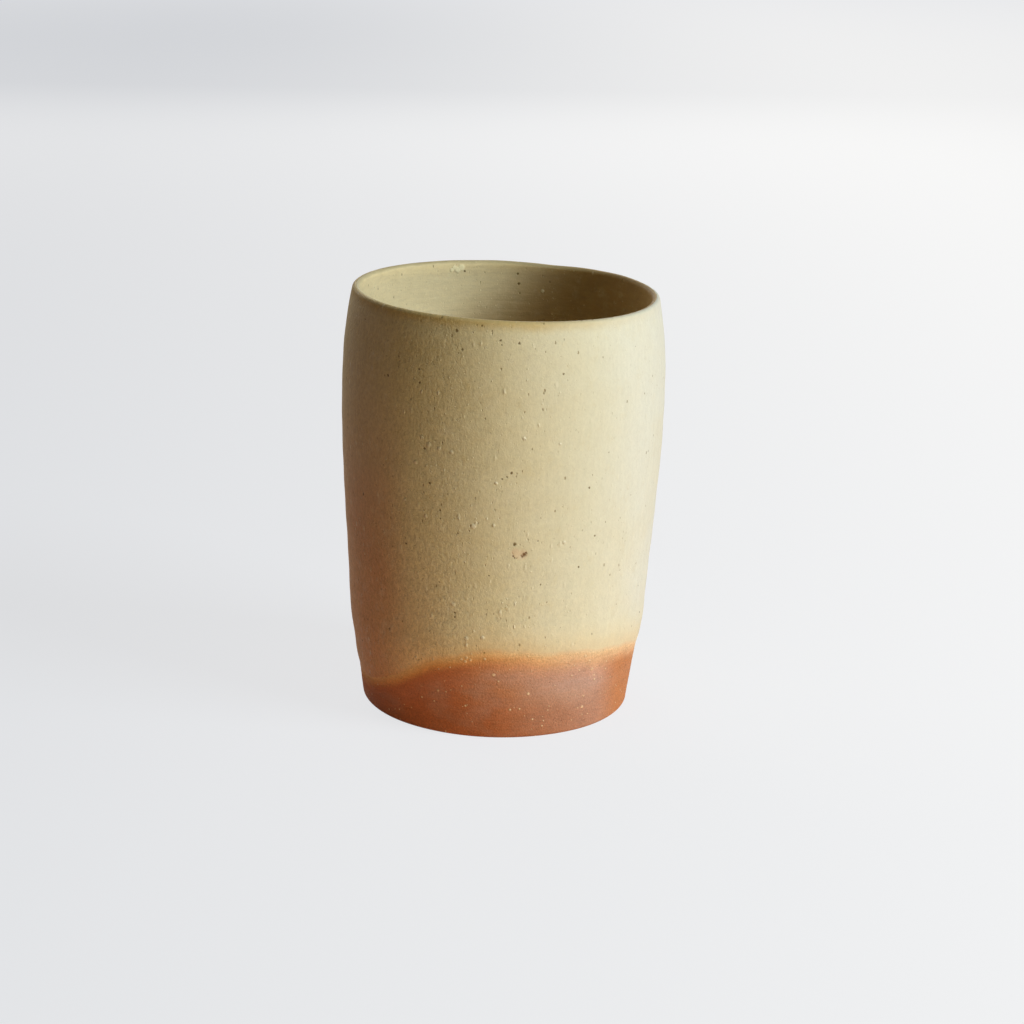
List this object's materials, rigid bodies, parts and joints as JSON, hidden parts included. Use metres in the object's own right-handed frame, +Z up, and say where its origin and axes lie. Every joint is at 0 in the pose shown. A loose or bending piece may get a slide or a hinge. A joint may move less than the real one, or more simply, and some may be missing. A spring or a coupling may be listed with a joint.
{
  "type": "cup",
  "caption": "Handle-less thrown stoneware cup: gently bellied wall, thin rounded lip, matt glaze inside and out, bare turned foot. Holds a drink and stands on a flat surface.",
  "frame": {"origin": "centre of the foot's standing ring, on the surface that the cup stands on", "axes": "+Z up along the cup's axis of revolution, towards the mouth; -Y is the front, where the outer glaze reaches lowest on the left and highest just right of the middle"},
  "size_m": [0.0768, 0.0768, 0.1009],
  "materials": {
    "bare_clay": "unglazed toasted stoneware, matt and slightly rough",
    "outer_glaze": "matt cream glaze with iron specks and small pits",
    "liner_glaze": "matt cream glaze over fine throwing lines"
  },
  "bodies": {
    "root": {"clay_body": "bare_clay", "outer_glaze": "outer_glaze", "liner_glaze": "liner_glaze"}
  },
  "joints": []
}
